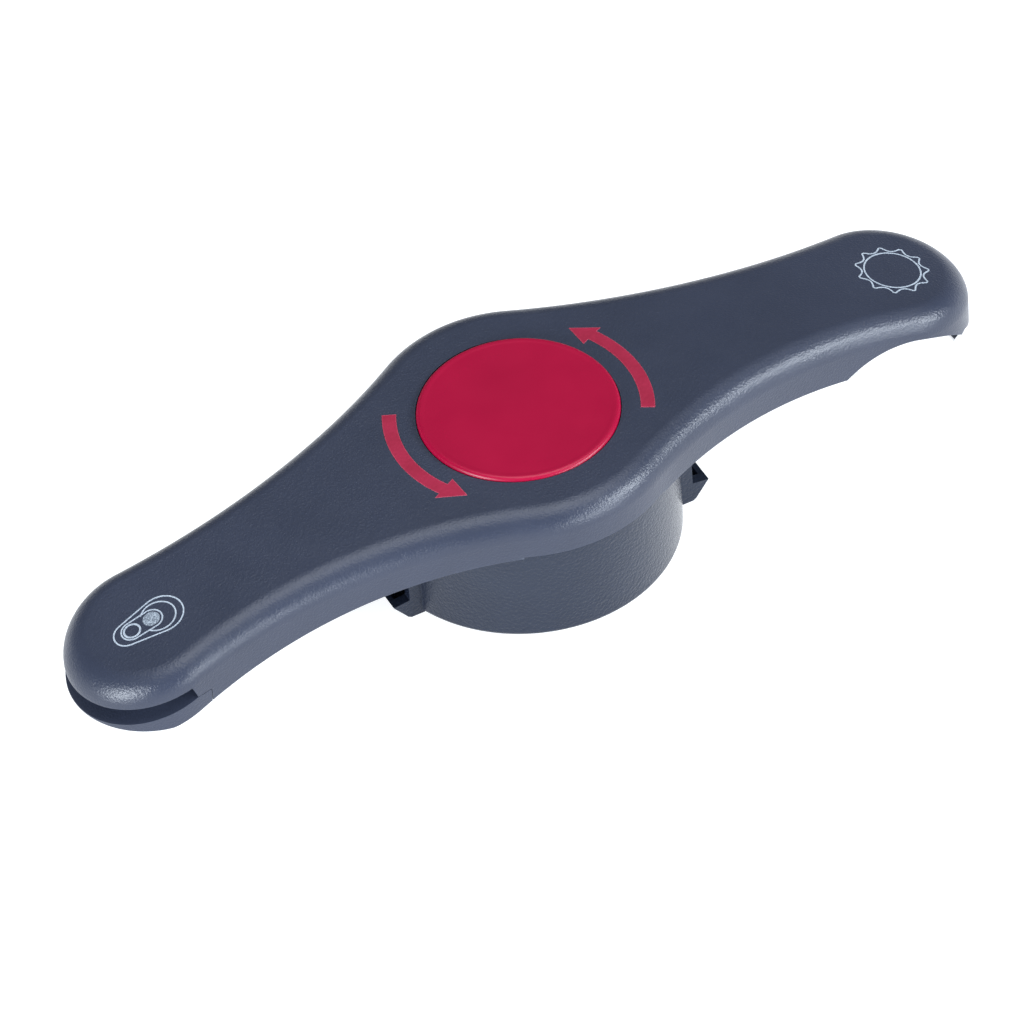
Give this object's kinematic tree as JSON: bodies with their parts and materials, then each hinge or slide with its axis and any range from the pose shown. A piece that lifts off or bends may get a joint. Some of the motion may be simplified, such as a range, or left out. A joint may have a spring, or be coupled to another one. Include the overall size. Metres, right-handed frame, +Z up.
{
  "type": "manual can opener",
  "caption": "Two-armed hand opener: self-closing jaws under the hub grip screw caps, with lid hooks, a ring-pull lifter and a crown-cap plate at the arm ends.",
  "frame": {"origin": "under the middle of the hub, on the plane that the grip cup stands on", "axes": "+Z up through the hub and the red cap; +X along the handle towards the crown-cap end; -X towards the ring-pull end"},
  "size_m": [0.2044, 0.063, 0.0324],
  "materials": {
    "handle_plastic": "finely grained, slate grey",
    "cup_plastic": "coarser grain, slate grey",
    "cap_red": "satin",
    "arrow_red": "matt inlay",
    "inner_plastic": "plain moulded",
    "grip_rubber": "matt, ribbed",
    "steel": "zinc plated or brushed"
  },
  "bodies": {
    "handle": {"handle_shell": "handle_plastic", "left_arm_cover": "handle_plastic", "right_arm_cover": "handle_plastic", "cover_screws": "steel", "crown_plate": "steel", "crown_plate_rivets": "steel", "centre_cap": "cap_red", "arrow_inlay_front": "arrow_red", "arrow_inlay_rear": "arrow_red", "grip_cup": "cup_plastic", "mouth_ring": "inner_plastic", "cam_plate": "steel", "hub_screws": "steel", "pivot_bolt": "steel", "pivot_washer": "steel", "pivot_nut": "steel", "thrust_washer": "inner_plastic", "return_spring": "steel"},
    "carrier": {"jaw_carrier": "inner_plastic", "centre_pad": "grip_rubber"},
    "jaw_1": {"jaw_1": "inner_plastic", "jaw_pad_1": "grip_rubber", "jaw_peg_1": "steel"},
    "jaw_2": {"jaw_2": "inner_plastic", "jaw_pad_2": "grip_rubber", "jaw_peg_2": "steel"},
    "jaw_3": {"jaw_3": "inner_plastic", "jaw_pad_3": "grip_rubber", "jaw_peg_3": "steel"}
  },
  "joints": [
    {"name": "carrier_turn", "type": "hinge", "parent": "handle", "child": "carrier", "pos_m": [0, 0, 0.0139], "axis": [0, 0, -1], "range_deg": [0, 40], "stiffness_Nm_per_rad": 0.12, "springref_deg": -20.05, "deforming": ["return_spring"]},
    {"name": "jaw_1_slide", "type": "slide", "parent": "carrier", "child": "jaw_1", "axis": [0, -1, 0], "range_m": [0, 0.006]},
    {"name": "jaw_2_slide", "type": "slide", "parent": "carrier", "child": "jaw_2", "axis": [0.866, 0.5, 0], "range_m": [0, 0.006]},
    {"name": "jaw_3_slide", "type": "slide", "parent": "carrier", "child": "jaw_3", "axis": [-0.866, 0.5, 0], "range_m": [0, 0.006]}
  ],
  "couplings": [
    {"joint": "jaw_1_slide", "follows": "carrier_turn", "m_per_rad": 0.0085944},
    {"joint": "jaw_2_slide", "follows": "carrier_turn", "m_per_rad": 0.0085944},
    {"joint": "jaw_3_slide", "follows": "carrier_turn", "m_per_rad": 0.0085944}
  ]
}
